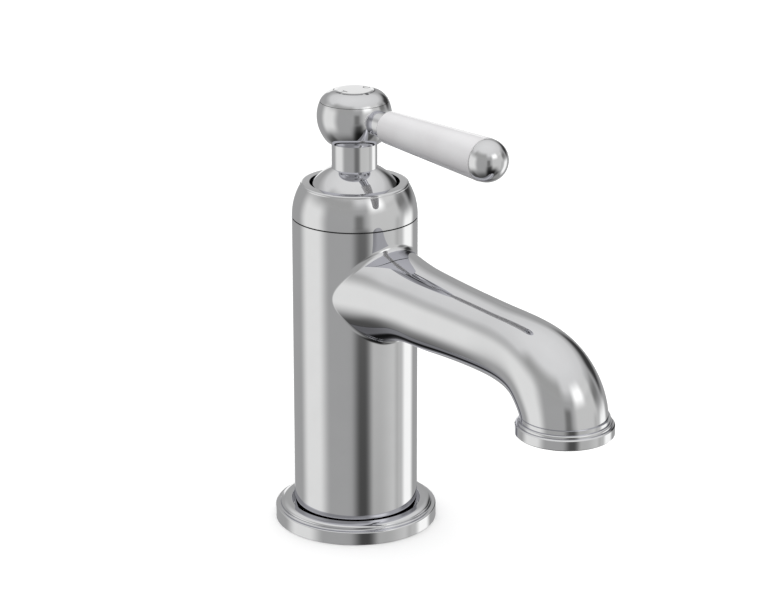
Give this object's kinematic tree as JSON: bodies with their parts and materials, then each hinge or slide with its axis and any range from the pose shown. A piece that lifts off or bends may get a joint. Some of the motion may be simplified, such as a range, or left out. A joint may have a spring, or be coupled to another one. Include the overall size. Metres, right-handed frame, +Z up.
{
  "type": "basin mixer faucet",
  "caption": "Single-lever basin mixer: round column, tapering spout with down-turned outlet, ball handle with a white ceramic lever, and a cartridge inside.",
  "frame": {"origin": "centre of the base's underside, on the deck", "axes": "+Z up along the column, the spout points along -Y, hot is towards -X and cold towards +X"},
  "size_m": [0.0602, 0.1639, 0.1648],
  "materials": {
    "chrome": "polished chrome plate",
    "white_ceramic": "white gloss glaze",
    "black_rubber": "matte moulded",
    "grey_plastic": "moulded",
    "white_plastic": "moulded",
    "disc_ceramic": "lapped",
    "brass": "machined",
    "steel": "stainless",
    "mark_enamel": "filled enamel"
  },
  "bodies": {
    "faucet_body": {"body_casting": "chrome", "base_flange": "chrome", "base_gasket": "black_rubber", "cartridge_base": "grey_plastic", "port_seals": "black_rubber", "fixed_disc": "disc_ceramic", "cartridge_housing": "grey_plastic", "cartridge_nut": "brass", "collar": "chrome", "collar_seal": "black_rubber", "aerator_ring": "chrome", "aerator_gasket": "black_rubber", "aerator_insert": "white_plastic", "aerator_screens": "steel", "flow_regulator": "white_plastic"},
    "cartridge_rotor": {"rotor": "white_plastic", "pivot_pin": "steel"},
    "mixing_disc": {"moving_disc": "disc_ceramic", "disc_carrier": "white_plastic"},
    "lever_handle": {"spindle": "brass", "dome_shroud": "chrome", "neck_sleeve": "chrome", "handle_ball": "chrome", "grub_screw": "steel", "index_cap": "chrome", "index_marks": "mark_enamel", "lever_boss": "chrome", "lever_rod": "steel", "root_washer": "white_plastic", "ceramic_lever": "white_ceramic", "cap_washer": "white_plastic", "lever_end_cap": "chrome"}
  },
  "joints": [
    {"name": "temperature_turn", "type": "hinge", "parent": "faucet_body", "child": "cartridge_rotor", "pos_m": [0, 0, 0.1188], "axis": [0, 0, 1], "range_deg": [-45, 45]},
    {"name": "lever_tilt", "type": "hinge", "parent": "cartridge_rotor", "child": "lever_handle", "pos_m": [0, 0, 0.1188], "axis": [-1, 0, 0], "range_deg": [0, 20]},
    {"name": "disc_slide", "type": "slide", "parent": "cartridge_rotor", "child": "mixing_disc", "axis": [0, -1, 0], "range_m": [0, 0.0061]}
  ],
  "couplings": [
    {"joint": "disc_slide", "follows": "lever_tilt", "m_per_rad": 0.017441}
  ]
}
